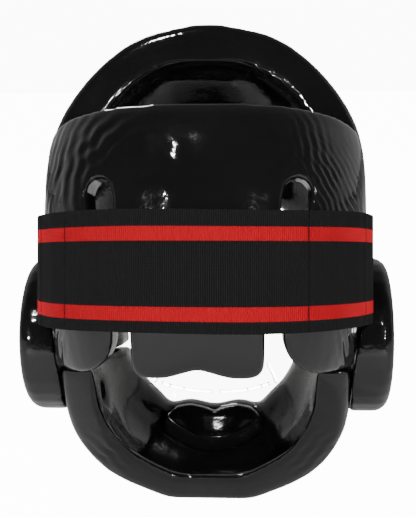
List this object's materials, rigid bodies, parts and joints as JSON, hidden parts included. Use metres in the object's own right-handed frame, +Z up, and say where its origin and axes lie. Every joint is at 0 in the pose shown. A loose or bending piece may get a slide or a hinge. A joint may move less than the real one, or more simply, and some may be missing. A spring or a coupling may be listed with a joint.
{
  "type": "foam sparring head guard with a clear slotted face shield",
  "caption": "Black dipped-foam full-face head guard with ear cups, a clear slotted face shield and a striped elastic rear strap, standing on its chin.",
  "frame": {"origin": "on the ground plane, under the middle of the guard's bounding box", "axes": "+Z up, the face looks along -Y, +X is the wearer's left"},
  "size_m": [0.22, 0.251, 0.3048],
  "materials": {
    "dipped_vinyl": "gloss",
    "pad_vinyl": "satin",
    "clear_shield": "gloss",
    "screw_plastic": "satin",
    "webbing": "matte",
    "hook_tape": "matte"
  },
  "bodies": {
    "root": {"front_hood": "dipped_vinyl", "rear_panel": "dipped_vinyl", "jaw_guard": "dipped_vinyl", "chin_pad": "pad_vinyl", "face_shield": "clear_shield", "strap": "webbing", "ear_cup_left": "dipped_vinyl", "strap_patch_left": "hook_tape", "ear_cup_right": "dipped_vinyl", "strap_patch_right": "hook_tape", "shield_screw_upper_left": "screw_plastic", "shield_screw_upper_right": "screw_plastic", "shield_screw_lower_left": "screw_plastic", "shield_screw_lower_right": "screw_plastic"}
  },
  "joints": []
}
